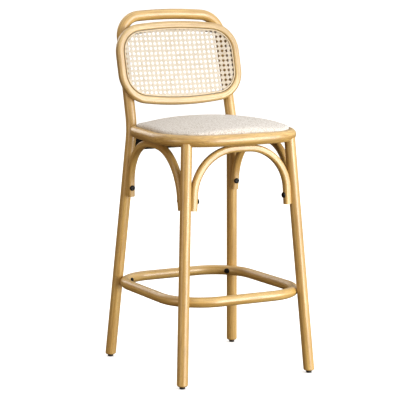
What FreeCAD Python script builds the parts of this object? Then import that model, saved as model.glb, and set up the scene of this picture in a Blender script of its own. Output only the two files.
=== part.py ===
import FreeCAD, Part
import math
import os
from FreeCAD import Placement, Rotation, Vector

# Bar stool with footrest, in bent beech. Millimetres, +Z up, front towards -Y. Left and right are
# as seen from the front, so right is +X. Shapes are built about the middle of the seat; at the end
# they all move together along Y, so that the origin is on the floor under the middle of the stool.

# ---------------------------------------------------------------- driving dimensions
rod_d = 34.0               # round legs and rear frame
glide_h = 8.0              # the legs end this far above the floor
glide_d = 18.0
foot_chamfer = 3.0
far = 2000.0

# seat
seat_z = 724.0             # underside of the seat ring
ring_h = 36.0
ring_w = 52.0              # from the ring's outside to its inside
ring_round = 17.5          # rounding of the ring's outer edges
front_half = 240.0         # half width of the seat at its front corners
front_y = -230.0
front_corner_r = 155.0
front_bow = 0.10           # angle in radians that the bowed front edge turns through on each side
rear_half = 216.0
rear_y = 216.0
rear_corner_r = 108.0
rebate_in = 18.5           # rebate for the pad, in from the outside of the ring
rebate_z = seat_z + 22.0
board_in = 20.0
board_t = 10.0
cover_t = 1.5
pad_in = 19.0
pad_top = 794.5            # crown of the seat pad
pad_crown_r = 1060.0
pad_edge_r = 12.0

# legs and bent rear frame
front_foot = Vector(224.0, -233.1, 0.0)
front_leg_top = Vector(180.2, -179.4, seat_z)
leg_scribe_z = seat_z + 11.0     # the front legs rise against the rounded edge of the ring to here
tenon_d = 20.0
tenon_l = 18.0
rear_foot = Vector(226.2, 266.0, 0.0)
knee = Vector(181.0, 189.0, 750.0)     # where the rear leg turns into the upright
knee_r = 220.0
back_lean = math.radians(14.76)
upright_taper = 0.010      # the uprights close in by this for each mm up
loop_spring = 292.0        # heights in the leaning plane are measured up from the knee
loop_corner_r = 69.0
loop_crown = 364.6

# bentwood arches under the seat
arch_t = 22.5              # thickness in the plane of the arch
arch_w = 23.0              # width across it
arch_round = 7.5
arch_base = 532.0
arch_bolt_z = 560.0
front_arch_y = -192.5
front_arch = {"half": 165.0, "slope": 0.0603, "spring": 582.4, "shoulder_r": 139.0, "crown": 713.5}
side_arch_x = 188.5        # at the foot of the arch
side_arch_lean = math.radians(2.5)
side_arch_mid = 9.5
side_arch = {"half": 175.5, "slope": 0.0885, "spring": 578.0, "shoulder_r": 151.0, "crown": 717.0}

# footrest and rear rail
footrest_d = 32.0
footrest_z = 255.0
footrest_front = (225.0, -229.8)
footrest_rear = (218.0, 264.3)
footrest_corner_r = 130.0
rail_y = 190.0
rail_t = 18.0
rail_h = 44.0

# backrest, in its own frame: X across, Z up the leaning plane, Y towards the rear
back_z = 943.0             # height of its middle above the floor
back_half_w = 220.0
back_half_h = 136.0
back_corner_r = 96.0
back_top_r = 1100.0
back_side_r = 2640.0
back_set = 22.3            # middle of the ring's depth, ahead of the upright axes
back_depth = 24.0
back_bend_r = 2420.0
back_round = 9.0
back_face_w = 23.0
back_lip_w = 8.0           # lip that carries the edge of the cane
cane_seat = 7.0            # depth of that lip behind the ring's front face
cane_t = 1.6
spline_w = 3.0
spline_h = 3.8
back_screw_at = (180.0, 93.0)

# fasteners
bolt_d = 6.0
bolt_head_d = 17.5
bolt_head_h = 6.0
insert_d = 9.0
insert_l = 10.0
insert_depth = 1.5         # the inserts sit this far under the surface of the leg


# ---------------------------------------------------------------- small geometry helpers
def unit(v):
    return v * (1.0 / v.Length)


def line(a, b):
    return Part.LineSegment(a, b).toShape()


def arc(a, middle, b):
    return Part.Arc(a, middle, b).toShape()


def flip(p):
    return Vector(-p.x, p.y, p.z)


def at_height(a, b, z):
    """Point of the straight line through a and b at height z."""
    return a + (b - a) * ((z - a.z) / (b.z - a.z))


def bend(before, corner, after, radius):
    """Start, middle and end of the arc that rounds the corner between two straight runs."""
    come = unit(corner - before)
    leave = unit(after - corner)
    half_turn = come.getAngle(leave) / 2.0
    run = radius * math.tan(half_turn)
    middle = corner + unit(leave - come) * (radius / math.cos(half_turn) - radius)
    return corner - come * run, middle, corner + leave * run


def sweep(edges, profile):
    """Solid swept by a closed profile along tangent edges."""
    return Part.Wire(edges).makePipeShell([profile], True, False)


def circle_wire(centre, normal, diameter):
    return Part.Wire([Part.Circle(centre, normal, diameter / 2.0).toShape()])


def cylinder(start, direction, diameter, length):
    return Part.makeCylinder(diameter / 2.0, length, start, direction)


def prism(wire, start_z, end_z):
    """Upright prism on a closed outline drawn at height start_z."""
    return Part.Face(wire).extrude(Vector(0, 0, end_z - start_z))


def box(low, high):
    return Part.makeBox(high.x - low.x, high.y - low.y, high.z - low.z, low)


def below(z):
    return box(Vector(-far, -far, z - far), Vector(far, far, z))


def above(z):
    return box(Vector(-far, -far, z), Vector(far, far, z + far))


def mirrored(shape):
    return shape.mirror(Vector(0, 0, 0), Vector(1, 0, 0))


def both_sides(shapes):
    return shapes + [mirrored(s) for s in shapes]


def edges_at(shape, z):
    """Edges that lie whole in the level plane at height z."""
    boxes = [(e, e.BoundBox) for e in shape.Edges]
    return [e for e, b in boxes if abs(b.ZMin - z) < 0.01 and abs(b.ZMax - z) < 0.01]


def single(shape):
    """The one solid of a result."""
    if len(shape.Solids) != 1:
        raise ValueError("expected one solid, found %d" % len(shape.Solids))
    return shape.Solids[0]


def cut_all(shape, tools):
    return shape.cut(Part.makeCompound(tools))


# ---------------------------------------------------------------- rods and arches
def arch_edges(place, base, half, slope, spring, shoulder_r, crown):
    """Edges of a bent arch: a leaning side, shoulder, crown, then the same down the other side.

    place(u, v) gives the point u across and v up in the plane of the arch, half is the half span
    at the base, and slope is how fast the sides close in.
    """
    foot = Vector(half, base, 0)
    up = unit(Vector(-slope, 1, 0))
    spring_at = foot + up * ((spring - base) / up.y)
    centre = spring_at + Vector(-up.y, up.x, 0) * shoulder_r
    rise = centre.y - crown
    crown_r = (shoulder_r ** 2 - centre.x ** 2 - rise ** 2) / (2.0 * (rise + shoulder_r))
    crown_centre = Vector(0, crown - crown_r, 0)
    outward = unit(centre - crown_centre)
    join = centre + outward * shoulder_r
    shoulder = centre + unit(unit(spring_at - centre) + outward) * shoulder_r

    def at(p, side):
        return place(side * p.x, p.y)

    return [
        line(at(foot, 1), at(spring_at, 1)),
        arc(at(spring_at, 1), at(shoulder, 1), at(join, 1)),
        arc(at(join, 1), place(0, crown), at(join, -1)),
        arc(at(join, -1), at(shoulder, -1), at(spring_at, -1)),
        line(at(spring_at, -1), at(foot, -1)),
    ]


def rounded_rect_wire(centre, along_a, along_b, size_a, size_b, radius):
    """Rounded rectangle about centre, with its sides along two unit vectors."""
    a, b, half_a, half_b = along_a, along_b, size_a / 2.0, size_b / 2.0
    trim = radius * (1.0 - math.sqrt(0.5))
    edges = []
    for turn in range(4):
        start = centre + a * half_a + b * (half_b - radius)
        middle = centre + a * (half_a - trim) + b * (half_b - trim)
        end = centre + a * (half_a - radius) + b * half_b
        edges.append(arc(start, middle, end))
        edges.append(line(end, centre - a * (half_a - radius) + b * half_b))
        a, b, half_a, half_b = b, a * -1.0, half_b, half_a
    return Part.Wire(edges)


def bent_arch(place, shape):
    """Arch of rounded rectangular section, planed flat where it meets the underside of the seat."""
    edges = arch_edges(place, arch_base, **shape)
    start = edges[0].Vertexes[0].Point
    up = unit(edges[0].Vertexes[1].Point - start)
    across = place(1, arch_base) - place(0, arch_base)
    inward = unit(across - up * across.dot(up))
    profile = rounded_rect_wire(start, inward, up.cross(inward), arch_t, arch_w, arch_round)
    return single(sweep(edges, profile).cut(above(seat_z)))


def front_arch_place(u, v):
    return Vector(u, front_arch_y, v)


def side_arch_place(u, v):
    rise = v - arch_base
    return Vector(side_arch_x + rise * math.sin(side_arch_lean), side_arch_mid + u,
                  arch_base + rise * math.cos(side_arch_lean))


def loop_place(u, v):
    """Point in the leaning plane of the uprights."""
    return Vector(u, knee.y + v * math.sin(back_lean), knee.z + v * math.cos(back_lean))


def rear_frame_rod():
    """Both rear legs, both uprights and the top rail, bent from one round rod."""
    slope = upright_taper * math.cos(back_lean)
    loop = arch_edges(loop_place, 0.0, knee.x, slope, loop_spring, loop_corner_r, loop_crown)
    upright_top = loop[0].Vertexes[1].Point
    foot = at_height(rear_foot, knee, -rod_d)
    low, middle, high = bend(foot, knee, upright_top, knee_r)
    right = [line(foot, low), arc(low, middle, high), line(high, upright_top)]
    left = [line(flip(upright_top), flip(high)), arc(flip(high), flip(middle), flip(low)),
            line(flip(low), flip(foot))]
    return sweep(right + loop[1:4] + left, circle_wire(foot, low - foot, rod_d))


def footrest_rod():
    """Closed ring with four wide corners, inside the legs."""
    corners = [Vector(footrest_front[0], footrest_front[1], footrest_z),
               Vector(footrest_rear[0], footrest_rear[1], footrest_z),
               Vector(-footrest_rear[0], footrest_rear[1], footrest_z),
               Vector(-footrest_front[0], footrest_front[1], footrest_z)]
    start = Vector(0, footrest_front[1], footrest_z)
    at = start
    edges = []
    for i, corner in enumerate(corners):
        first, middle, last = bend(corners[i - 1], corner, corners[(i + 1) % 4], footrest_corner_r)
        edges += [line(at, first), arc(first, middle, last)]
        at = last
    edges.append(line(at, start))
    return sweep(edges, circle_wire(start, Vector(1, 0, 0), footrest_d))


# ---------------------------------------------------------------- outlines
def seat_outline(inset, z):
    """Outline of the seat moved in by inset: bowed front, round front corners, narrower rear."""
    front_r = front_corner_r - inset
    rear_r = rear_corner_r - inset
    front_c = Vector(front_half - front_corner_r, front_y + front_corner_r, z)
    rear_c = Vector(rear_half - rear_corner_r, rear_y - rear_corner_r, z)
    between = rear_c - front_c
    side_angle = (math.atan2(between.y, between.x)
                  - math.acos((front_corner_r - rear_corner_r) / between.Length))
    start_angle = front_bow - math.pi / 2

    def on(centre, radius, angle):
        return centre + Vector(math.cos(angle), math.sin(angle), 0) * radius

    bow_r = (front_c.x + front_corner_r * math.sin(front_bow)) / math.sin(front_bow) - inset
    front = [on(front_c, front_r, a)
             for a in (start_angle, (start_angle + side_angle) / 2, side_angle)]
    rear = [on(rear_c, rear_r, a)
            for a in (side_angle, (side_angle + math.pi / 2) / 2, math.pi / 2)]
    bow_middle = Vector(0, front[0].y - bow_r * (1 - math.cos(front_bow)), z)
    return Part.Wire([
        arc(flip(front[0]), bow_middle, front[0]),
        arc(*front),
        line(front[2], rear[0]),
        arc(*rear),
        line(rear[2], flip(rear[2])),
        arc(flip(rear[2]), flip(rear[1]), flip(rear[0])),
        line(flip(rear[0]), flip(front[2])),
        arc(flip(front[2]), flip(front[1]), flip(front[0])),
    ])


def back_corner_centre():
    """Centre of the corner arc that is tangent inside both the top arc and the side arc."""
    top_c = Vector(0, 0, back_half_h - back_top_r)
    side_c = Vector(back_half_w - back_side_r, 0, 0)
    top_gap = back_top_r - back_corner_r
    side_gap = back_side_r - back_corner_r
    apart = (top_c - side_c).Length
    along = (side_gap ** 2 - top_gap ** 2 + apart ** 2) / (2 * apart)
    off = math.sqrt(side_gap ** 2 - along ** 2)
    d = unit(top_c - side_c)
    return side_c + d * along + Vector(-d.z, 0, d.x) * off, top_c, side_c


def back_outline(inset):
    """Outline of the backrest in its own plane, moved in by inset: eight tangent arcs."""
    corner_c, top_c, side_c = back_corner_centre()
    radius = back_corner_r - inset
    to_top = unit(corner_c - top_c)
    to_side = unit(corner_c - side_c)
    top_end = corner_c + to_top * radius
    middle = corner_c + unit(to_top + to_side) * radius
    side_end = corner_c + to_side * radius
    top = Vector(0, 0, back_half_h - inset)
    side = Vector(back_half_w - inset, 0, 0)

    def at(p, sx, sz):
        return Vector(sx * p.x, 0, sz * p.z)

    return Part.Wire([
        arc(at(top_end, -1, 1), top, top_end),
        arc(top_end, middle, side_end),
        arc(side_end, side, at(side_end, 1, -1)),
        arc(at(side_end, 1, -1), at(middle, 1, -1), at(top_end, 1, -1)),
        arc(at(top_end, 1, -1), at(top, 1, -1), at(top_end, -1, -1)),
        arc(at(top_end, -1, -1), at(middle, -1, -1), at(side_end, -1, -1)),
        arc(at(side_end, -1, -1), at(side, -1, 1), at(side_end, -1, 1)),
        arc(at(side_end, -1, 1), at(middle, -1, 1), at(top_end, -1, 1)),
    ])


# ---------------------------------------------------------------- curved backrest
bend_axis_y = -(back_set + back_bend_r)


def back_slice(inset, front, back):
    """Curved plate inside one outline, between two depths behind the ring's front face."""
    reach = 200.0
    plate = Part.Face(back_outline(inset)).extrude(Vector(0, 2 * reach, 0))
    plate = plate.translated(Vector(0, -reach, 0))
    face_r = back_bend_r - back_depth / 2
    foot = Vector(0, bend_axis_y, -reach)
    up = Vector(0, 0, 1)
    outside = cylinder(foot, up, 2 * (face_r + back), 2 * reach)
    inside = cylinder(foot, up, 2 * (face_r + front), 2 * reach)
    return single(plate.common(outside).cut(inside))


def rim_edges(shape, inset, depth):
    """Edges that follow the outline at one inset and one depth behind the front face."""
    outline = back_outline(inset)
    found = []
    for e in shape.Edges:
        p = e.valueAt((e.FirstParameter + e.LastParameter) / 2)
        at_depth = math.hypot(p.x, p.y - bend_axis_y) - (back_bend_r - back_depth / 2)
        away = Part.Vertex(Vector(p.x, 0, p.z)).distToShape(outline)[0]
        along_rim = abs(e.tangentAt(e.FirstParameter).y) < 0.8
        if along_rim and abs(at_depth - depth) < 0.05 and away < 0.05:
            found.append(e)
    return found


def lean_back(shape):
    """From the backrest's own frame to its place in front of the uprights."""
    middle = Vector(0, knee.y + (back_z - knee.z) * math.tan(back_lean), back_z)
    placed = shape.copy()
    placed.Placement = Placement(middle, Rotation(Vector(1, 0, 0), -math.degrees(back_lean)))
    return placed


# ---------------------------------------------------------------- fasteners
def oriented(shape, at, direction):
    """Shape made along +Z, moved to a point and turned to a direction."""
    placed = shape.copy()
    placed.Placement = Placement(at, Rotation(Vector(0, 0, 1), direction))
    return placed


def bolt_room(length, head_room):
    """Space that a bolt takes up, with extra room outside its head."""
    head = cylinder(Vector(0, 0, -head_room), Vector(0, 0, 1), bolt_head_d, head_room)
    return head.fuse(cylinder(Vector(0, 0, 0), Vector(0, 0, 1), bolt_d + 0.4, length))


def socket_bolt(length):
    """Round-headed bolt with a hex socket: shank up from 0, head below."""
    head = cylinder(Vector(0, 0, -bolt_head_h), Vector(0, 0, 1), bolt_head_d, bolt_head_h)
    head = head.makeFillet(bolt_head_h * 0.6, edges_at(head, -bolt_head_h))
    corners = [Vector(2.4 * math.cos(i * math.pi / 3), 2.4 * math.sin(i * math.pi / 3), -bolt_head_h)
               for i in range(7)]
    socket = Part.Face(Part.makePolygon(corners)).extrude(Vector(0, 0, bolt_head_h * 0.6))
    shank = cylinder(Vector(0, 0, 0), Vector(0, 0, 1), bolt_d, length)
    return single(head.cut(socket).fuse(shank))


def leg_bolt(seat, axis_point):
    """Bolt from its seat in a bent part towards the axis of a leg, with its insert in the leg."""
    direction = unit(axis_point - seat)
    span = (axis_point - seat).Length
    insert_start = span - rod_d / 2 + insert_depth
    length = insert_start + insert_l
    sleeve = cylinder(Vector(0, 0, insert_start), Vector(0, 0, 1), insert_d, insert_l)
    bore = cylinder(Vector(0, 0, insert_start - 1), Vector(0, 0, 1), bolt_d + 0.2, insert_l + 2)
    pocket = cylinder(Vector(0, 0, insert_start - 3 * insert_depth), Vector(0, 0, 1), insert_d,
                      insert_l + 3 * insert_depth)
    made = {"bolt": socket_bolt(length), "insert": sleeve.cut(bore),
            "room": bolt_room(length, 3 * bolt_head_h), "pocket": pocket}
    return {name: oriented(shape, seat, direction) for name, shape in made.items()}


def wood_screw(length, head_d, shank_d):
    """Countersunk screw: flat of the head at 0, shank up to a point."""
    head_h = (head_d - shank_d) / 2
    head = Part.makeCone(head_d / 2, shank_d / 2, head_h)
    shank = cylinder(Vector(0, 0, head_h), Vector(0, 0, 1), shank_d, length - head_h - shank_d)
    point = Part.makeCone(shank_d / 2, 0.5, shank_d, Vector(0, 0, length - shank_d))
    return single(head.fuse(shank).fuse(point))


def screw_room(length, head_d, shank_d, head_room):
    return wood_screw(length, head_d, shank_d).fuse(
        cylinder(Vector(0, 0, -head_room), Vector(0, 0, 1), head_d, head_room))


# ---------------------------------------------------------------- legs, rear frame, seat ring
rear_frame = single(rear_frame_rod().cut(below(glide_h)))
rear_frame = rear_frame.makeChamfer(foot_chamfer, edges_at(rear_frame, glide_h))

leg_axis = unit(front_leg_top - front_foot)
leg_rod = cylinder(at_height(front_foot, front_leg_top, -rod_d), leg_axis, rod_d, 1000.0)
leg_rod = single(leg_rod.cut(below(glide_h)).cut(above(leg_scribe_z)))
leg_rod = leg_rod.makeChamfer(foot_chamfer, edges_at(leg_rod, glide_h))
tenon = cylinder(front_leg_top - Vector(0, 0, 1) * tenon_l, Vector(0, 0, 1), tenon_d, 2 * tenon_l)

ring_block = prism(seat_outline(0, seat_z), seat_z, seat_z + ring_h)
ring_block = ring_block.makeFillet(ring_round, edges_at(ring_block, seat_z)
                                   + edges_at(ring_block, seat_z + ring_h))
opening = prism(seat_outline(ring_w, seat_z), seat_z, seat_z + ring_h)
rebate = prism(seat_outline(rebate_in, rebate_z), rebate_z, seat_z + ring_h)
seat_ring = single(cut_all(ring_block, [opening, rebate]))
front_leg = single(leg_rod.cut(seat_ring).fuse(tenon))
seat_ring = single(cut_all(seat_ring, both_sides([tenon]) + [rear_frame]))

# ---------------------------------------------------------------- seat pad on its board
seat_board = prism(seat_outline(board_in, rebate_z), rebate_z, rebate_z + board_t)
seat_dust_cover = prism(seat_outline(ring_w + 0.5, rebate_z - cover_t), rebate_z - cover_t, rebate_z)
pad_base = rebate_z + board_t
pad = prism(seat_outline(pad_in, pad_base), pad_base, pad_top + 5)
crown = Part.makeSphere(pad_crown_r, Vector(0, 0, pad_top - pad_crown_r))
pad = single(pad.common(crown))
pad_rim = [e for e in pad.Edges if e.BoundBox.ZMin > pad_base + 5 and e.BoundBox.ZMax < pad_top - 5]
seat_cushion = pad.makeFillet(pad_edge_r, pad_rim)

# ---------------------------------------------------------------- arches, footrest, rear rail
legs = [front_leg, mirrored(front_leg), rear_frame]
arch_front = cut_all(bent_arch(front_arch_place, front_arch), legs)
arch_right = cut_all(bent_arch(side_arch_place, side_arch), legs)
footrest_ring = cut_all(footrest_rod(), legs)
rear_rail = box(Vector(-rear_half, rail_y - rail_t / 2, seat_z - rail_h),
                Vector(rear_half, rail_y + rail_t / 2, seat_z))
rear_rail = max(rear_rail.cut(rear_frame).Solids, key=lambda s: s.Volume)

# ---------------------------------------------------------------- backrest
back_block = back_slice(0, 0, back_depth)
back_block = back_block.makeFillet(back_round, rim_edges(back_block, 0, 0)
                                   + rim_edges(back_block, 0, back_depth))
back_hole = back_slice(back_face_w + back_lip_w, -1, back_depth + 1)
back_rebate = back_slice(back_face_w, -1, cane_seat)
backrest_ring = single(cut_all(back_block, [back_hole, back_rebate]))
backrest_ring = backrest_ring.makeFillet(5.0, rim_edges(backrest_ring, back_face_w, 0))
backrest_ring = backrest_ring.makeFillet(7.0, rim_edges(backrest_ring, back_face_w + back_lip_w,
                                                        back_depth))
backrest_ring = single(lean_back(backrest_ring).cut(rear_frame))
cane_panel = lean_back(back_slice(back_face_w + 1, cane_seat - cane_t, cane_seat))
spline_back = cane_seat - cane_t
spline_out = back_face_w + 2.0
cane_spline = back_slice(spline_out, spline_back - spline_h, spline_back)
cane_spline = cane_spline.makeFillet(1.2, rim_edges(cane_spline, spline_out, spline_back - spline_h))
cane_spline = single(cane_spline.cut(back_slice(spline_out + spline_w, -1, back_depth)))
cane_spline = lean_back(cane_spline)

# ---------------------------------------------------------------- bolts and inserts
front_leg_at = at_height(front_foot, front_leg_top, arch_bolt_z)
rear_leg_at = at_height(rear_foot, knee, arch_bolt_z)


def arch_bolt_seat(place, shape, side):
    """Middle of a bolt head's seat, just inside the inner face of an arch."""
    u = shape["half"] - shape["slope"] * (arch_bolt_z - arch_base) - arch_t / 2 + 0.6
    return place(side * u, arch_bolt_z)


front_arch_bolt = leg_bolt(arch_bolt_seat(front_arch_place, front_arch, 1), front_leg_at)
side_bolts = [leg_bolt(arch_bolt_seat(side_arch_place, side_arch, -1), front_leg_at),
              leg_bolt(arch_bolt_seat(side_arch_place, side_arch, 1), rear_leg_at)]


def footrest_bolt(corner, foot, top):
    """Bolt through one corner of the footrest, from a flat spot on its inside into the leg."""
    centre = Vector(corner[0] - footrest_corner_r, corner[1], footrest_z)
    centre.y += footrest_corner_r if corner[1] < 0 else -footrest_corner_r
    leg_at = at_height(foot, top, footrest_z)
    spot = footrest_corner_r - footrest_d / 2 + 1.9
    return leg_bolt(centre + unit(leg_at - centre) * spot, leg_at)


rest_bolts = [footrest_bolt(footrest_front, front_foot, front_leg_top),
              footrest_bolt(footrest_rear, rear_foot, knee)]

seat_bolt_z = seat_z + 10.0
rear_c = Vector(rear_half - rear_corner_r, rear_y - rear_corner_r, seat_bolt_z)
upright_at = at_height(rear_foot, knee, seat_bolt_z) + Vector(0, 2.6, 0)
seat_bolt = leg_bolt(rear_c + unit(upright_at - rear_c) * (rear_corner_r - ring_w + 0.8), upright_at)

front_leg = single(cut_all(front_leg, [b["pocket"] for b in
                                       [front_arch_bolt, side_bolts[0], rest_bolts[0]]]))
rear_pockets = [b["pocket"] for b in [side_bolts[1], rest_bolts[1], seat_bolt]]
arch_front = single(cut_all(arch_front, both_sides([front_arch_bolt["room"]])))
arch_right = single(cut_all(arch_right, [b["room"] for b in side_bolts]))
footrest_ring = single(cut_all(footrest_ring, both_sides([b["room"] for b in rest_bolts])))
seat_ring = single(cut_all(seat_ring, both_sides([seat_bolt["room"]])))

arch_bolts = both_sides([b["bolt"] for b in [front_arch_bolt] + side_bolts])
footrest_bolts = both_sides([b["bolt"] for b in rest_bolts])
rear_seat_bolts = both_sides([seat_bolt["bolt"]])
leg_inserts = both_sides([b["insert"] for b in
                          [front_arch_bolt] + side_bolts + rest_bolts + [seat_bolt]])

# ---------------------------------------------------------------- wood screws
up = Vector(0, 0, 1)


def driven_up(places, length, head_d, shank_d):
    """Screws driven straight up from the given points, and the room they take."""
    screws = [oriented(wood_screw(length, head_d, shank_d), p, up) for p in places]
    rooms = [oriented(screw_room(length, head_d, shank_d, 3.0), p, up) for p in places]
    return screws, rooms


arch_under = {"front": front_arch["crown"] - arch_t / 2, "side": side_arch["crown"] - arch_t / 2}
front_crown_at = front_arch_place(0, arch_under["front"])
side_crown_at = side_arch_place(0, arch_under["side"])
arch_screw_at = [p + up * 1.2 for p in (front_crown_at, side_crown_at, flip(side_crown_at))]
arch_screws, arch_rooms = driven_up(arch_screw_at, 32.0, 7.0, 3.8)
arch_front = single(cut_all(arch_front, arch_rooms[:1]))
arch_right = single(cut_all(arch_right, arch_rooms[1:2]))

ledge_at = [Vector(x, y, seat_z) for x, y in [(123.6, -181.2), (176.0, 50.0), (60.0, 170.0)]]
seat_screws, seat_rooms = driven_up(ledge_at + [flip(p) for p in ledge_at], 30.0, 8.0, 4.0)

rail_at = [Vector(x, rail_y, seat_z - rail_h) for x in (-110.0, 0.0, 110.0)]
rear_rail_screws, rail_rooms = driven_up(rail_at, 58.0, 8.0, 4.0)
rear_rail = single(cut_all(rear_rail, rail_rooms))
seat_ring = single(cut_all(seat_ring, arch_rooms + seat_rooms + rail_rooms))
seat_board = single(cut_all(seat_board, seat_rooms))

back_screw_l = 48.0
back_screw = oriented(wood_screw(back_screw_l, 9.0, 4.5), Vector(0, 16.2, 0), Vector(0, -1, 0))
back_room = oriented(screw_room(back_screw_l, 9.0, 4.5, 3.0), Vector(0, 16.2, 0), Vector(0, -1, 0))
back_places = [Vector(sx * back_screw_at[0], 0, sz * back_screw_at[1])
               for sx in (-1, 1) for sz in (-1, 1)]
backrest_screws = [lean_back(Part.makeCompound([back_screw.translated(p)])) for p in back_places]
back_rooms = [lean_back(Part.makeCompound([back_room.translated(p)])) for p in back_places]
rear_frame = single(cut_all(rear_frame, back_rooms + both_sides(rear_pockets)))
backrest_ring = single(cut_all(backrest_ring, back_rooms))

# ---------------------------------------------------------------- glides
feet = [at_height(front_foot, front_leg_top, glide_h), at_height(rear_foot, knee, glide_h)]
glide = cylinder(Vector(0, 0, -glide_h), up, glide_d, glide_h)
glide = glide.makeFillet(1.5, edges_at(glide, -glide_h))
glide = single(glide.fuse(cylinder(Vector(0, 0, 0), up, 4.0, 20.0)))
nails = [cylinder(p, up, 4.0, 20.0) for p in feet]
front_leg = single(front_leg.cut(nails[0]))
rear_frame = single(cut_all(rear_frame, both_sides([nails[1]])))
foot_glides = both_sides([glide.translated(p) for p in feet])

# ---------------------------------------------------------------- place and write
parts = {
    "rear_frame": rear_frame,
    "front_leg_left": mirrored(front_leg),
    "front_leg_right": front_leg,
    "seat_ring": seat_ring,
    "seat_board": seat_board,
    "seat_dust_cover": seat_dust_cover,
    "seat_cushion": seat_cushion,
    "arch_front": arch_front,
    "arch_left": mirrored(arch_right),
    "arch_right": arch_right,
    "rear_rail": rear_rail,
    "footrest_ring": footrest_ring,
    "backrest_ring": backrest_ring,
    "cane_panel": cane_panel,
    "cane_spline": cane_spline,
    "arch_bolts": Part.makeCompound(arch_bolts),
    "footrest_bolts": Part.makeCompound(footrest_bolts),
    "rear_seat_bolts": Part.makeCompound(rear_seat_bolts),
    "leg_inserts": Part.makeCompound(leg_inserts),
    "arch_screws": Part.makeCompound(arch_screws),
    "seat_screws": Part.makeCompound(seat_screws),
    "rear_rail_screws": Part.makeCompound(rear_rail_screws),
    "backrest_screws": Part.makeCompound(backrest_screws),
    "foot_glides": Part.makeCompound(foot_glides),
}

front_most = front_leg.optimalBoundingBox(False).YMin
rear_most = rear_frame.optimalBoundingBox(False).YMax
shift = Vector(0, -(front_most + rear_most) / 2, 0)
os.makedirs("parts", exist_ok=True)
for name, shape in parts.items():
    placed = shape.translated(shift)
    placed.exportStep("parts/" + name + ".step")
    print(name, placed.ShapeType, len(placed.Solids), placed.isValid(), round(placed.Volume))
print("moved along Y by", round(shift.y, 3))
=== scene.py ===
import math
import random
import bpy
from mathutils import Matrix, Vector


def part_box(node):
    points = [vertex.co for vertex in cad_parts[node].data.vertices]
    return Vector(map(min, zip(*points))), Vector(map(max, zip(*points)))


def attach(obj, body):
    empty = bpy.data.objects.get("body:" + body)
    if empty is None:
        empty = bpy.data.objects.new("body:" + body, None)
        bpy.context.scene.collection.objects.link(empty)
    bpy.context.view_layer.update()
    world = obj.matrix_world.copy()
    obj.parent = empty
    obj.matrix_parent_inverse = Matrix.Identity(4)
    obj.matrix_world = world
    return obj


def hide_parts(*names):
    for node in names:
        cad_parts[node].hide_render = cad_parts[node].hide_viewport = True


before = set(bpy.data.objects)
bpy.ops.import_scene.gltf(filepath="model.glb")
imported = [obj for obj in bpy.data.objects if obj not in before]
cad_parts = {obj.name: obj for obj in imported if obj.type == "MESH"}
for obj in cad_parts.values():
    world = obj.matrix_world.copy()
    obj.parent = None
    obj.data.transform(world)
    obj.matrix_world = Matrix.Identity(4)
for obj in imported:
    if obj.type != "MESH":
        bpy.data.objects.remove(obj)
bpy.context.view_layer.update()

# Bar stool with footrest. Lengths are written in millimetres, and the shader coordinates are scaled
# to millimetres first. Meshes, lights and the camera are in metres, in the frame of the CAD model.

MM = 0.001
random.seed(7)

# Shapes that the new pieces and the grain of the wood follow. Y is from the middle of the seat.
SEAT_REAR_Y = 216.0                      # rear of the seat ring
mid_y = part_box("seat_ring")[1].y / MM - SEAT_REAR_Y
FRONT_FOOT = (224.0, -233.1)             # axis of a front leg at the floor
FRONT_LEG_SLOPE = (-43.8 / 724.0, 53.7 / 724.0)
REAR_FOOT = (226.2, 266.0)
REAR_LEG_SLOPE = (-45.2 / 750.0, -77.0 / 750.0)
KNEE = Vector((181.0, 189.0, 750.0))     # where the rear legs turn into the uprights
BACK_LEAN = math.radians(14.76)
UPRIGHT_X, UPRIGHT_TAPER = 188.5, -0.01  # axis of an upright, carried down to the floor
UPRIGHT_Y, UPRIGHT_SLOPE = -8.6, 0.2635
TOP_RAIL_Z, TOP_RAIL_R = 1102.6, 69.0
ARCH_SPLAY_Z = 535.0                     # the arches' half widths are given at this height
BACK_Z = 943.0                           # middle of the backrest
BACK_HALF = (220.0, 136.0)
BACK_CORNER_R, BACK_TOP_R, BACK_SIDE_R = 96.0, 1100.0, 2640.0
BACK_FACE_R = 2408.0                     # radius of the backrest's front face
BACK_AXIS_Y = -2442.3
CANE_PITCH = 15.9


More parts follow.
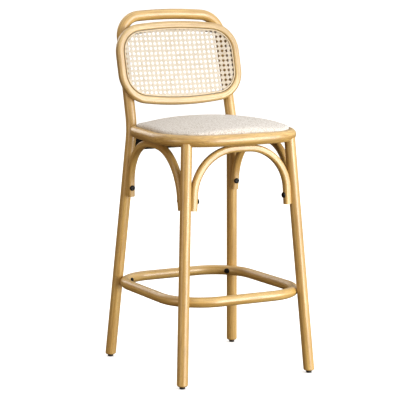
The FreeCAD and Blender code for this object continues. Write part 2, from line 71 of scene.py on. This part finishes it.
# ---------------------------------------------------------------- materials
class Nodes:
    """Small helper to build a node material around one Principled shader."""

    def __init__(self, name, **settings):
        self.material = bpy.data.materials.new(name)
        self.material.use_nodes = True
        self.tree = self.material.node_tree
        self.shader = self.tree.nodes["Principled BSDF"]
        for key, value in settings.items():
            self.shader.inputs[key.replace("_", " ")].default_value = value
        place = self.tree.nodes.new("ShaderNodeTexCoord").outputs["Object"]
        split = self.add("ShaderNodeSeparateXYZ", Vector=place)
        self.x, self.y, self.z = [self.math("MULTIPLY", s, 1000.0) for s in split.outputs]

    def add(self, kind, **inputs):
        node = self.tree.nodes.new(kind)
        for key, value in inputs.items():
            self.join(node.inputs[key], value)
        return node

    def join(self, socket, value):
        if isinstance(value, bpy.types.NodeSocket):
            self.tree.links.new(value, socket)
        else:
            socket.default_value = value

    def math(self, operation, *values, clamp=False):
        node = self.tree.nodes.new("ShaderNodeMath")
        node.operation = operation
        node.use_clamp = clamp
        for socket, value in zip(node.inputs, values):
            self.join(socket, value)
        return node.outputs[0]

    def plus(self, a, b):
        return self.math("ADD", a, b)

    def minus(self, a, b):
        return self.math("SUBTRACT", a, b)

    def times(self, a, b):
        return self.math("MULTIPLY", a, b)

    def line(self, value, start, slope):
        return self.math("MULTIPLY_ADD", value, slope, start)

    def vector(self, x, y, z):
        return self.add("ShaderNodeCombineXYZ", X=x, Y=y, Z=z).outputs[0]

    def scaled(self, x, y=None, z=None):
        """The place in millimetres, times a factor for each axis, or one for all three."""
        return self.vector(self.times(self.x, x), self.times(self.y, x if y is None else y),
                           self.times(self.z, x if z is None else z))

    def noise(self, coords, w=None, detail=2.0, rough=0.5):
        node = self.tree.nodes.new("ShaderNodeTexNoise")
        node.noise_dimensions = "3D" if w is None else "4D"
        self.join(node.inputs["Vector"], coords)
        if w is not None:
            self.join(node.inputs["W"], w)
        node.inputs["Scale"].default_value = 1.0
        node.inputs["Detail"].default_value = detail
        node.inputs["Roughness"].default_value = rough
        return node.outputs["Fac"]

    def ramp(self, value, low, high, to_low=0.0, to_high=1.0):
        node = self.add("ShaderNodeMapRange", Value=value)
        node.interpolation_type = "SMOOTHSTEP"
        for key, number in zip(("From Min", "From Max", "To Min", "To Max"),
                               (low, high, to_low, to_high)):
            node.inputs[key].default_value = number
        return node.outputs["Result"]

    def mix(self, factor, a, b):
        node = self.tree.nodes.new("ShaderNodeMix")
        node.data_type = "RGBA"
        colours = [s for s in node.inputs if s.type == "RGBA"]
        self.join(node.inputs[0], factor)
        for socket, value in zip(colours, (a, b)):
            self.join(socket, value if isinstance(value, bpy.types.NodeSocket) else (*value, 1.0))
        return [s for s in node.outputs if s.type == "RGBA"][0]

    def bump(self, height, distance, strength):
        node = self.add("ShaderNodeBump", Height=height)
        node.inputs["Distance"].default_value = distance * MM
        node.inputs["Strength"].default_value = strength
        self.join(self.shader.inputs["Normal"], node.outputs[0])

    def finish(self, colour, rough=None):
        self.join(self.shader.inputs["Base Color"], colour)
        if rough is not None:
            self.join(self.shader.inputs["Roughness"], rough)
        return self.material


def srgb(r, g, b):
    """Linear colour from 0-255 screen values."""
    def linear(v):
        v /= 255.0
        return v / 12.92 if v <= 0.04045 else ((v + 0.055) / 1.055) ** 2.4
    return linear(r), linear(g), linear(b)


def corner_distance(g, over_u, over_v, radius):
    """Signed distance from a rounded corner, for places measured from the middle of its arc."""
    outside_u, outside_v = g.math("MAXIMUM", over_u, 0.0), g.math("MAXIMUM", over_v, 0.0)
    length = g.math("SQRT", g.plus(g.times(outside_u, outside_u), g.times(outside_v, outside_v)))
    inside = g.math("MINIMUM", g.math("MAXIMUM", over_u, over_v), 0.0)
    return g.minus(g.plus(length, inside), radius)


def rounded_distance(g, u, v, half_u, half_v, radius):
    """Signed distance from a rounded rectangle about 0: constant along a rod bent to that shape."""
    return corner_distance(g, g.minus(g.math("ABSOLUTE", u), g.minus(half_u, radius)),
                           g.minus(g.math("ABSOLUTE", v), g.minus(half_v, radius)), radius)


def arch_distance(g, u, v, half_u, crown, radius):
    """The same for an arch that is open downwards."""
    return corner_distance(g, g.minus(g.math("ABSOLUTE", u), g.minus(half_u, radius)),
                           g.minus(v, crown - radius), radius)


def beech(name, path, seed, light=(224, 188, 112), dark=(188, 143, 70), gloss=0.66,
          painted_shade=None):
    """Lacquered beech with its grain along the part.

    path(g) gives four numbers in millimetres: two places along the part, and two across its grain.
    The last argument, if given, is 1 inside a groove, where shade is painted into the wood as a
    dark colour.
    """
    g = Nodes(name, Roughness=0.42, Specular_IOR_Level=1.4 * gloss, Coat_Weight=gloss,
              Coat_Roughness=0.32)
    along_a, along_b, across_a, across_b = path(g)

    def grain(length, width, detail, shift, rough=0.5):
        """Noise stretched along the part: one fleck is about length by width."""
        spot = g.vector(g.line(along_a, seed + shift, 1.0 / length),
                        g.line(along_b, seed, 1.0 / length),
                        g.line(across_a, shift, 1.0 / width))
        return g.noise(spot, g.line(across_b, seed * 1.7 + shift, 1.0 / width), detail, rough)

    broad = grain(300.0, 18.0, 2.0, 3.1)
    streaks = grain(130.0, 3.0, 3.0, 11.7, 0.6)
    fine = grain(45.0, 1.3, 2.0, 27.3, 0.6)
    flecks = grain(6.0, 0.7, 1.0, 41.9)
    body = g.mix(g.ramp(streaks, 0.38, 0.66, 0.0, 0.85), srgb(*light), srgb(*dark))
    body = g.mix(g.ramp(broad, 0.36, 0.68, 0.0, 0.5), body, srgb(*[0.90 * c for c in dark]))
    body = g.mix(g.ramp(fine, 0.52, 0.70, 0.0, 0.55), body, srgb(*[0.72 * c for c in dark]))
    body = g.mix(g.ramp(flecks, 0.62, 0.72, 0.0, 0.65), body, srgb(*[0.58 * c for c in dark]))
    # Painted shade: the wood inside the groove is darkened to stand in for the shade that falls
    # there.
    if painted_shade:
        body = g.mix(g.times(painted_shade(g), 0.92), body, srgb(44, 27, 16))
    rough = g.plus(g.ramp(fine, 0.3, 0.75, 0.36, 0.50), g.ramp(broad, 0.3, 0.7, -0.03, 0.05))
    g.bump(g.plus(fine, g.times(g.ramp(flecks, 0.66, 0.74), -0.6)), 0.10, 0.55)
    return g.finish(body, rough)


def seat_y(g):
    return g.minus(g.y, mid_y)


def upright_axis_y(g):
    return g.line(g.z, UPRIGHT_Y, UPRIGHT_SLOPE)


def front_leg_path(side):
    def path(g):
        axis_x = g.line(g.z, side * FRONT_FOOT[0], side * FRONT_LEG_SLOPE[0])
        axis_y = g.line(g.z, FRONT_FOOT[1], FRONT_LEG_SLOPE[1])
        return g.z, 0.0, g.minus(g.x, axis_x), g.minus(seat_y(g), axis_y)
    return path


def rear_frame_path(g):
    leg_x = g.line(g.z, REAR_FOOT[0], REAR_LEG_SLOPE[0])
    leg_y = g.line(g.z, REAR_FOOT[1], REAR_LEG_SLOPE[1])
    half = g.math("MAXIMUM", leg_x, g.line(g.z, UPRIGHT_X, UPRIGHT_TAPER))
    d = arch_distance(g, g.x, g.z, half, TOP_RAIL_Z, TOP_RAIL_R)
    return g.x, g.z, d, g.minus(seat_y(g), g.math("MAXIMUM", leg_y, upright_axis_y(g)))


def arch_half(g, at_base, slope, least):
    """Half width of an arch, which closes in by slope for each mm up until it is least."""
    return g.math("MAXIMUM", g.line(g.z, at_base + slope * ARCH_SPLAY_Z, -slope), least)


def front_arch_path(g):
    half, crown, radius, y = arch_half(g, 165.0, 0.0603, 162.2), 713.5, 139.0, -192.5
    return g.x, g.z, arch_distance(g, g.x, g.z, half, crown, radius), g.minus(seat_y(g), y)


def side_arch_path(side):
    foot_x, lean, middle_y = 188.5, 0.0437, 9.5
    crown, radius = 717.0, 151.0

    def path(g):
        half = arch_half(g, 175.5, 0.0885, 171.7)
        u = g.minus(seat_y(g), middle_y)
        plane = g.line(g.z, side * (foot_x - ARCH_SPLAY_Z * lean), side * lean)
        return u, g.z, arch_distance(g, u, g.z, half, crown, radius), g.minus(g.x, plane)
    return path


def closed_ring_path(middle_y, half_x, narrowing, half_y, corner_r, z):
    """For a flat closed ring that narrows towards the rear."""
    def path(g):
        v = g.minus(seat_y(g), middle_y)
        half = g.line(v, half_x, -narrowing)
        return g.x, v, rounded_distance(g, g.x, v, half, half_y, corner_r), g.minus(g.z, z)
    return path


footrest_path = closed_ring_path(middle_y=17.2, half_x=221.5, narrowing=0.0142, half_y=247.0,
                                 corner_r=130.0, z=255.0)
seat_ring_path = closed_ring_path(middle_y=-8.0, half_x=230.0, narrowing=0.066, half_y=225.0,
                                  corner_r=132.0, z=742.0)


def back_path(g):
    v = g.times(g.minus(g.z, BACK_Z), 1.0 / math.cos(BACK_LEAN))
    d = rounded_distance(g, g.x, v, *BACK_HALF, BACK_CORNER_R)
    return g.x, v, d, g.minus(seat_y(g), upright_axis_y(g))


def painted_groove_shade(g):
    """Mask of painted shade: the groove round the front of the backrest that the reed and the cane
    sit in.
    """
    face_ahead = 34.3           # of the ring's front face ahead of the uprights' axes, at x = 0
    depth_in, depth_out = (3.4, 5.0), (8.4, 9.4)
    outline_inset = (-19.0, -16.0)
    d = back_path(g)[2]
    ahead = g.times(g.minus(seat_y(g), upright_axis_y(g)), math.cos(BACK_LEAN))
    depth = g.plus(g.line(g.times(g.x, g.x), face_ahead, 0.5 / BACK_FACE_R), ahead)
    deep = g.times(g.ramp(depth, *depth_in), g.ramp(depth, *depth_out, 1.0, 0.0))
    return g.times(deep, g.ramp(d, *outline_inset, 1.0, 0.0))


def rail_path(g):
    return g.x, 0.0, seat_y(g), g.z


def black_metal(name):
    g = Nodes(name, Metallic=0.0, Specular_IOR_Level=0.2)
    speck = g.noise(g.scaled(2.2), detail=3.0)
    wear = g.noise(g.scaled(0.35))
    g.bump(speck, 0.05, 0.5)
    colour = g.mix(g.ramp(speck, 0.55, 0.75), (0.005, 0.005, 0.006), (0.018, 0.017, 0.016))
    return g.finish(colour, g.ramp(wear, 0.3, 0.7, 0.34, 0.52))


def zinc(name):
    g = Nodes(name, Metallic=1.0)
    spangle = g.noise(g.scaled(0.8), detail=3.0)
    g.bump(spangle, 0.03, 0.4)
    colour = g.mix(g.ramp(spangle, 0.35, 0.65), (0.46, 0.47, 0.50), (0.62, 0.62, 0.60))
    return g.finish(colour, g.ramp(spangle, 0.3, 0.7, 0.28, 0.45))


def moulded_plastic(name):
    g = Nodes(name, Specular_IOR_Level=0.45)
    pebble = g.noise(g.scaled(1.6), detail=2.0)
    scuff = g.noise(g.scaled(0.2, 0.2, 0.6), detail=3.0)
    g.bump(pebble, 0.12, 0.6)
    colour = g.mix(g.ramp(scuff, 0.5, 0.7, 0.0, 0.6), (0.022, 0.021, 0.02), (0.075, 0.07, 0.065))
    return g.finish(colour, g.ramp(pebble, 0.35, 0.65, 0.5, 0.68))


def plywood(name):
    g = Nodes(name, Roughness=0.7)
    two_plies = 3.2
    ply = g.math("SINE", g.times(g.z, math.tau / two_plies))
    streak = g.noise(g.scaled(1 / 60.0, 0.5, 0.4), detail=3.0)
    colour = g.mix(g.ramp(ply, -0.3, 0.3), srgb(206, 168, 116), srgb(162, 118, 74))
    colour = g.mix(g.ramp(streak, 0.4, 0.7, 0.0, 0.5), colour, srgb(140, 100, 62))
    g.bump(streak, 0.15, 0.5)
    return g.finish(colour)


def seat_cloth(name):
    """Plain weave of thick and thin yarns in off-white and grey-beige, with a short nap, and
    painted shade where the weave is low between the yarns.
    """
    g = Nodes(name, Roughness=0.92, Specular_IOR_Level=0.2, Sheen_Weight=0.25, Sheen_Roughness=0.5)
    yarn_pitch = 1.9
    wobble = g.noise(g.scaled(0.05), detail=2.0)
    drift = g.times(g.minus(wobble, 0.5), 3.0)
    u = g.times(g.plus(g.plus(g.x, drift), g.times(g.z, 0.6)), math.pi / yarn_pitch)
    v = g.times(g.plus(g.minus(g.y, drift), g.times(g.z, 0.6)), math.pi / yarn_pitch)
    over = g.times(g.math("SINE", u), g.math("SINE", v))
    warp = g.math("ABSOLUTE", g.math("COSINE", u))
    weft = g.math("ABSOLUTE", g.math("COSINE", v))
    side = g.ramp(over, -0.25, 0.25)
    other = g.minus(1.0, side)
    height = g.plus(g.times(side, g.minus(1.0, warp)), g.times(other, g.minus(1.0, weft)))
    slub_along = g.noise(g.scaled(0.55, 0.10, 0.3), detail=2.0)
    slub_across = g.noise(g.scaled(0.10, 0.55, 0.3), detail=2.0)
    fibre = g.noise(g.scaled(2.4), detail=3.0)
    fleck = g.noise(g.scaled(0.26, 0.15, 0.26), detail=2.0, rough=0.7)
    yarn = g.plus(g.times(slub_along, side), g.times(slub_across, other))
    colour = g.mix(g.ramp(yarn, 0.36, 0.64), srgb(250, 247, 243), srgb(230, 225, 219))
    colour = g.mix(g.ramp(fleck, 0.50, 0.61, 0.0, 0.7), colour, srgb(184, 173, 160))
    # Painted shade: darker grey-beige where the weave is low, between the yarns.
    colour = g.mix(g.ramp(height, 0.0, 0.45, 0.5, 0.0), colour, srgb(196, 186, 174))
    colour = g.mix(g.ramp(fibre, 0.55, 0.75, 0.0, 0.3), colour, srgb(246, 241, 234))
    g.bump(g.plus(height, g.times(fibre, 0.7)), 0.45, 0.8)
    return g.finish(colour)


def dust_cloth(name):
    g = Nodes(name, Roughness=0.95, Specular_IOR_Level=0.15)
    mat = g.noise(g.scaled(1.1), detail=4.0, rough=0.7)
    dots = g.times(g.math("SINE", g.times(g.x, 2.1)), g.math("SINE", g.times(g.y, 2.1)))
    g.bump(g.plus(mat, g.ramp(dots, 0.5, 0.9, 0.0, 0.6)), 0.25, 0.8)
    return g.finish(g.mix(g.ramp(mat, 0.35, 0.7), (0.012, 0.012, 0.012), (0.05, 0.049, 0.047)))


def cane(name, light=(213, 204, 189), dark=(197, 183, 160)):
    """Peeled cane: pale, slightly glossy, with long fibres and a tan tint here and there."""
    g = Nodes(name, Roughness=0.45, Coat_Weight=0.1, Coat_Roughness=0.3)
    patch = g.noise(g.scaled(1 / 14.0), detail=3.0)
    fibre = g.noise(g.scaled(0.9), detail=3.0)
    colour = g.mix(g.ramp(patch, 0.42, 0.72, 0.0, 0.6), srgb(*light), srgb(*dark))
    colour = g.mix(g.ramp(fibre, 0.56, 0.74, 0.0, 0.35), colour, srgb(190, 166, 128))
    g.bump(fibre, 0.08, 0.5)
    return g.finish(colour, g.ramp(fibre, 0.3, 0.7, 0.38, 0.55))


def paint(node, material):
    """Give a CAD node its material."""
    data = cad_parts[node].data
    data.materials.clear()
    data.materials.append(material)


paint("front_leg_left", beech("beech_front_leg_left", front_leg_path(-1), 1.3))
paint("front_leg_right", beech("beech_front_leg_right", front_leg_path(1), 5.9))
paint("rear_frame", beech("beech_rear_frame", rear_frame_path, 9.4))
paint("seat_ring", beech("beech_seat_ring", seat_ring_path, 14.2))
paint("arch_front", beech("beech_arch_front", front_arch_path, 18.8))
paint("arch_left", beech("beech_arch_left", side_arch_path(-1), 22.5))
paint("arch_right", beech("beech_arch_right", side_arch_path(1), 26.1))
paint("footrest_ring", beech("beech_footrest", footrest_path, 30.7))
# The backrest's beech gets a slightly darker, less saturated colour than the other parts: painted
# shade that tones down the stronger light falling on the backrest.
paint("backrest_ring",
      beech("beech_backrest", back_path, 34.6, (215, 186, 124), (182, 144, 82), painted_shade=painted_groove_shade))
# The rail's near-black colour is partly the rail's own black and partly painted shade for the deep
# shade under the seat's rear.
paint("rear_rail", beech("rail_black_with_painted_shade", rail_path, 39.0, (22, 18, 15), (14, 12, 10), 0.01))
paint("seat_board", plywood("plywood"))
black = black_metal("black_bolts")
for bolt_node in ("arch_bolts", "footrest_bolts", "rear_seat_bolts", "backrest_screws"):
    paint(bolt_node, black)
zinc_plate = zinc("zinc_plate")
for screw_node in ("leg_inserts", "arch_screws", "seat_screws", "rear_rail_screws"):
    paint(screw_node, zinc_plate)
paint("foot_glides", moulded_plastic("glide_plastic"))


# ---------------------------------------------------------------- mesh helpers
def new_piece(name, verts, faces, material):
    mesh = bpy.data.meshes.new(name)
    mesh.from_pydata([tuple(v) for v in verts], [], faces)
    mesh.validate()
    mesh.polygons.foreach_set("use_smooth", [True] * len(mesh.polygons))
    mesh.materials.append(material)
    piece = bpy.data.objects.new(name, mesh)
    bpy.context.scene.collection.objects.link(piece)
    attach(piece, "root")
    return piece


def modify(piece, kind, **settings):
    """A new modifier on the piece."""
    modifier = piece.modifiers.new(kind.lower(), kind)
    for key, value in settings.items():
        setattr(modifier, key, value)
    return modifier


def apply_modifiers(piece):
    """The piece's mesh as its modifiers leave it."""
    shown = piece.evaluated_get(bpy.context.evaluated_depsgraph_get())
    mesh = bpy.data.meshes.new_from_object(shown)
    piece.modifiers.clear()
    piece.data = mesh


# ---------------------------------------------------------------- seat cushion
def seat_cushion():
    """The pad, filled out as stuffed cloth held down all round its edge."""
    last_frame = 20
    held_height, blend_height = 9 * MM, 6 * MM      # held below the first, free above both
    move_cap, move_share = 4 * MM, 0.6
    tip_up = 0.011                                  # slope of the top, up towards the front
    roll_out, roll_up, roll_width = 0.9 * MM, 3 * MM, 5 * MM
    roll_from = 0.15                                # distance from the middle, in metres

    low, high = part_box("seat_cushion")
    piece = bpy.data.objects.new("upholstered_pad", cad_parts["seat_cushion"].data.copy())
    bpy.context.scene.collection.objects.link(piece)
    modify(piece, "REMESH", mode="VOXEL", voxel_size=6 * MM)
    apply_modifiers(piece)
    start = [v.co.copy() for v in piece.data.vertices]
    rim = low.z + held_height
    pins = piece.vertex_groups.new(name="held")
    for i, p in enumerate(start):
        if p.z < rim:
            pins.add([i], 1.0, "REPLACE")
    cloth = modify(piece, "CLOTH")
    cloth.settings.use_pressure = True
    cloth.settings.uniform_pressure_force = 4.0
    cloth.settings.vertex_group_mass = "held"
    cloth.settings.effector_weights.gravity = 0.0
    cloth.settings.quality = 4
    cloth.point_cache.frame_start, cloth.point_cache.frame_end = 1, last_frame
    for step in range(1, last_frame + 1):
        bpy.context.scene.frame_set(step)
    apply_modifiers(piece)
    bpy.context.scene.frame_set(1)
    middle = (low + high) / 2
    for v, p in zip(piece.data.vertices, start):
        move = v.co - p
        free = min(1.0, max(0.0, (p.z - rim) / blend_height))
        if move.length > move_cap:
            move *= move_cap / move.length
        v.co = p + move * move_share * free
        v.co.z -= tip_up * (p.y - middle.y) * free
        out = Vector((p.x - middle.x, p.y - middle.y, 0))
        if out.length > roll_from:
            roll = math.exp(-((p.z - rim - roll_up) / roll_width) ** 2)
            v.co += out.normalized() * roll_out * roll
    modify(piece, "SMOOTH", factor=0.5, iterations=3)
    modify(piece, "SUBSURF", levels=1, render_levels=1)
    apply_modifiers(piece)
    piece.data.polygons.foreach_set("use_smooth", [True] * len(piece.data.polygons))
    piece.data.materials.clear()
    piece.data.materials.append(seat_cloth("seat_cloth"))
    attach(piece, "root")
    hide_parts("seat_cushion")


seat_cushion()


# ---------------------------------------------------------------- dust cover
def outline_reach(node, cx, cy, turns):
    """How far the node's outline is from (cx, cy), in each of turns directions."""
    far_off, in_line = 0.05, 0.998      # metres, and the cosine of the angle to the direction
    outline = [Vector((v.co.x - cx, v.co.y - cy)) for v in node.data.vertices]
    outline = [(q.length, q.normalized()) for q in outline if q.length > far_off]
    reach = []
    for i in range(turns):
        a = math.tau * i / turns
        d = Vector((math.cos(a), math.sin(a)))
        reach.append(max((r for r, q in outline if q.dot(d) > in_line), default=0.0))
    known = [i for i in range(turns) if reach[i] > 0]
    for i in range(turns):
        if reach[i] == 0:
            before = max((k for k in known if k < i), default=known[-1] - turns)
            after = min((k for k in known if k > i), default=known[0] + turns)
            t = (i - before) / (after - before)
            reach[i] = reach[before % turns] * (1 - t) + reach[after % turns] * t
    return reach


def dust_cover():
    """Thin black cloth stapled under the board, hanging a little in the middle."""
    turns, rings = 120, 14
    sag_depth, edge_up, edge_in = 2.2, 0.8, 0.992
    ripples, ripple_depth = 9, 0.35
    low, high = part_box("seat_dust_cover")
    cx, cy = (low.x + high.x) / 2, (low.y + high.y) / 2
    reach = outline_reach(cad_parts["seat_dust_cover"], cx, cy, turns)
    verts = [Vector((cx, cy, low.z - sag_depth * MM))]
    for r in range(1, rings + 1):
        f = r / rings
        for i in range(turns):
            a = math.tau * i / turns
            pucker = ripple_depth * math.sin(ripples * a + 5 * f) * f ** 3 * (1 - f) * 4
            sag = sag_depth * (1 - f ** 4) + pucker
            verts.append(Vector((cx + math.cos(a) * reach[i] * edge_in * f,
                                 cy + math.sin(a) * reach[i] * edge_in * f,
                                 low.z + (edge_up - sag) * MM)))
    faces = [(0, 1 + i, 1 + (i + 1) % turns) for i in range(turns)]
    for r in range(rings - 1):
        for i in range(turns):
            j = (i + 1) % turns
            a, b = 1 + r * turns, 1 + (r + 1) * turns
            faces.append((a + i, b + i, b + j, a + j))
    piece = new_piece("dust_cover_cloth", verts, faces, dust_cloth("dust_cloth"))
    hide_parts("seat_dust_cover")
    modify(piece, "SOLIDIFY", thickness=0.5 * MM, offset=0.0)


dust_cover()


# ---------------------------------------------------------------- woven cane
def back_corner():
    """Centre of the arc at the backrest's corner, tangent inside the top arc and the side arc."""
    top = Vector((0.0, BACK_HALF[1] - BACK_TOP_R))
    side = Vector((BACK_HALF[0] - BACK_SIDE_R, 0.0))
    r_top, r_side = BACK_TOP_R - BACK_CORNER_R, BACK_SIDE_R - BACK_CORNER_R
    apart = (top - side).length
    along = (r_side ** 2 - r_top ** 2 + apart ** 2) / (2 * apart)
    d = (top - side) / apart
    off = math.sqrt(r_side ** 2 - along ** 2)
    return side + d * along + Vector((-d.y, d.x)) * off


corner = back_corner()


def inside_back(x, v, inset):
    """True where a point of the backrest's plane lies inside its outline moved in by inset."""
    x, v = abs(x), abs(v)
    if x > corner.x and v > corner.y:
        return math.hypot(x - corner.x, v - corner.y) < BACK_CORNER_R - inset
    in_top = math.hypot(x, v - BACK_HALF[1] + BACK_TOP_R) < BACK_TOP_R - inset
    in_side = math.hypot(x - BACK_HALF[0] + BACK_SIDE_R, v) < BACK_SIDE_R - inset
    return in_top and in_side


def on_back(x, v, depth):
    """Point of the curved backrest, depth behind its front face, in the frame of the model."""
    y = BACK_AXIS_Y + math.sqrt((BACK_FACE_R + depth) ** 2 - x * x)
    s, c = math.sin(BACK_LEAN), math.cos(BACK_LEAN)
    base_y = KNEE.y + (BACK_Z - KNEE.z) * math.tan(BACK_LEAN)
    return Vector((x, mid_y + base_y + v * s + y * c, BACK_Z + v * c - y * s)) * MM


PAIR = 1.5            # half the spacing of the two strands of a pair
STRAND_W = 2.75
STRAND_T = 0.55
CANE_DEPTH = 5.7      # of the weave behind the backrest's front face
CANE_INSET = 25.5     # of the strands' ends inside the backrest's outline
PAIR_WAVE = 0.34      # how far a strand of a pair moves up and down at a crossing
DIAGONAL_WAVE = 0.46
SHORTEST = 4          # points in the shortest strand that is laid
PROFILE = [(-0.5, -0.15), (-0.28, 0.45), (0.28, 0.45), (0.5, -0.15), (0.2, -0.5), (-0.2, -0.5)]


def ripple(u):
    """Up and down of a strand as it crosses one pair at u = 0."""
    u = (u + CANE_PITCH / 2) % CANE_PITCH - CANE_PITCH / 2
    return PAIR_WAVE * math.sin(math.pi * u / (2 * PAIR)) if abs(u) < 2 * PAIR else 0.0


def strand(verts, faces, points, width, thick):
    """Flat strip with a rounded front along points (x, v, height towards the front)."""
    start = len(verts)
    count = len(PROFILE)
    for k, (x, v, h) in enumerate(points):
        a, b = points[max(k - 1, 0)], points[min(k + 1, len(points) - 1)]
        t = Vector((b[0] - a[0], b[1] - a[1])).normalized()
        side = Vector((-t.y, t.x))
        for across, up in PROFILE:
            verts.append(on_back(x + side.x * across * width, v + side.y * across * width,
                                 CANE_DEPTH - h - up * thick))
    for k in range(len(points) - 1):
        a, b = start + k * count, start + (k + 1) * count
        for i in range(count):
            j = (i + 1) % count
            faces.append((a + i, b + i, b + j, a + j))
    faces.append(tuple(start + i for i in range(count)))
    faces.append(tuple(start + (len(points) - 1) * count + i for i in reversed(range(count))))


def clipped(path, step, reach):
    """Points of path(t) that lie inside the panel, t from -reach to reach."""
    count = int(2 * reach / step)
    points = [path(-reach + 2 * reach * k / count) for k in range(count + 1)]
    return [(x, v, h) for x, v, h in points if inside_back(x, v, CANE_INSET)]


def pair_size():
    return STRAND_W * random.uniform(0.92, 1.06), STRAND_T * random.uniform(0.9, 1.1)


def diagonal_size():
    return STRAND_W * random.uniform(0.9, 1.04), STRAND_T


def cane_weave():
    """Six-way cane: upright pairs and level pairs woven together, with diagonals through them."""
    verts, faces = [], []
    shift = CANE_PITCH / 2
    columns = int(BACK_HALF[0] / CANE_PITCH) + 1
    rows = int(BACK_HALF[1] / CANE_PITCH) + 1

    def lay(path, step, reach, size):
        points = clipped(path, step, reach)
        if len(points) >= SHORTEST:
            strand(verts, faces, points, *size())

    for upright, lines, reach in ((True, columns, BACK_HALF[1]), (False, rows, BACK_HALF[0])):
        for i in range(-lines, lines):
            for sign in (-1, 1):
                at = shift + i * CANE_PITCH + sign * PAIR + random.uniform(-0.12, 0.12)

                def pair_path(t):
                    lift = sign * ripple(t - shift)
                    return (at, t, -lift) if upright else (t, at, lift)
                lay(pair_path, 1.5, reach, pair_size)
    for k in range(-(columns + rows), columns + rows + 1):
        for slope in (-1, 1):
            offset = (k + 0.5) * CANE_PITCH + random.uniform(-0.15, 0.15)

            def diagonal_path(t):
                wave = math.cos(math.tau * t / CANE_PITCH)
                return t + shift, shift + slope * (t - offset), -slope * DIAGONAL_WAVE * wave
            lay(diagonal_path, 2.0, 2 * BACK_HALF[0], diagonal_size)
    piece = new_piece("cane_weave", verts, faces, cane("cane_strands"))
    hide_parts("cane_panel")


cane_weave()
paint("cane_spline", cane("cane_reed", (226, 208, 176), (202, 176, 134)))


# ---------------------------------------------------------------- floor, light, camera
def floor():
    """A plain pale ground. It keeps the ground light without tinting the stool from below."""
    half, paint_colour = 90.0, (0.93, 0.93, 0.93, 1.0)
    mesh = bpy.data.meshes.new("floor")
    corners = [(-half, -half, 0), (half, -half, 0), (half, half, 0), (-half, half, 0)]
    mesh.from_pydata(corners, [], [(0, 1, 2, 3)])
    g = Nodes("floor_paint", Roughness=0.9, Specular_IOR_Level=0.0, Emission_Strength=0.45)
    mesh.materials.append(g.finish(paint_colour))
    piece = bpy.data.objects.new("floor", mesh)
    piece.visible_diffuse = False
    piece.visible_glossy = False
    bpy.context.scene.collection.objects.link(piece)


def area_light(name, place, aim, size, power, colour):
    data = bpy.data.lights.new(name, "AREA")
    data.shape = "RECTANGLE"
    data.size, data.size_y = size
    data.energy = power
    data.color = colour
    lamp = bpy.data.objects.new(name, data)
    lamp.location = place
    lamp.rotation_euler = (Vector(aim) - Vector(place)).to_track_quat("-Z", "Y").to_euler()
    bpy.context.scene.collection.objects.link(lamp)


DOME_UP = (0.34, -0.26, 0.90)
DOME_STOPS = [(0.0, (0.06, 0.035, 0.02)), (0.42, (0.10, 0.07, 0.045)), (0.54, (0.22, 0.19, 0.16)),
              (0.75, (0.64, 0.62, 0.60)), (1.0, (1.35, 1.35, 1.35))]
WARM_WHITE, SOFT_WHITE, AMBER = (1.0, 0.97, 0.92), (1.0, 0.96, 0.90), (1.0, 0.80, 0.58)
LIGHTS = [
    # name, place, aim, size, watts, colour
    ("key", (3.6, -5.0, 2.1), (0, 0, 0.4), (2.4, 2.4), 238.0, WARM_WHITE),
    ("low", (1.6, -4.3, 0.3), (0, 0, 0.15), (1.8, 0.5), 92.0, SOFT_WHITE),
    ("back", (-0.5, 4.2, 2.8), (0, 0, 0.6), (3.0, 3.0), 60.0, SOFT_WHITE),
    ("left", (-4.4, -0.9, 1.0), (0, 0, 0.45), (1.6, 1.6), 46.0, AMBER),
]


def studio_dome():
    """Soft light from above, tipped to the front right, with little from below."""
    world = bpy.data.worlds.new("studio")
    world.use_nodes = True
    nodes, links = world.node_tree.nodes, world.node_tree.links
    rise = nodes.new("ShaderNodeVectorMath")
    rise.operation = "DOT_PRODUCT"
    rise.inputs[1].default_value = DOME_UP
    links.new(nodes.new("ShaderNodeTexCoord").outputs["Generated"], rise.inputs[0])
    ramp = nodes.new("ShaderNodeValToRGB")
    ramp.color_ramp.elements.remove(ramp.color_ramp.elements[0])
    for place, colour in DOME_STOPS[:-1]:
        ramp.color_ramp.elements.new(place).color = (*colour, 1.0)
    ramp.color_ramp.elements[-1].color = (*DOME_STOPS[-1][1], 1.0)
    height = nodes.new("ShaderNodeMath")
    height.operation = "MULTIPLY_ADD"
    height.inputs[1].default_value = height.inputs[2].default_value = 0.5
    links.new(rise.outputs["Value"], height.inputs[0])
    links.new(height.outputs[0], ramp.inputs[0])
    links.new(ramp.outputs[0], nodes["Background"].inputs["Color"])
    bpy.context.scene.world = world


floor()
studio_dome()
for light in LIGHTS:
    area_light(*light)

CAMERA_AT = Vector((-2668.6, mid_y - 4893.7, 1325.7)) * MM
CAMERA_AIM = Vector((-38.07, mid_y, 532.98)) * MM
camera = bpy.data.objects.new("camera", bpy.data.cameras.new("camera"))
bpy.context.scene.collection.objects.link(camera)
camera.location = CAMERA_AT
camera.rotation_euler = (CAMERA_AIM - CAMERA_AT).to_track_quat("-Z", "Y").to_euler()
camera.data.lens = 161.33
camera.data.sensor_width = 36.0
camera.data.clip_end = 300.0
bpy.context.scene.camera = camera
bpy.context.scene.view_settings.view_transform = "Standard"

bpy.context.view_layer.update()
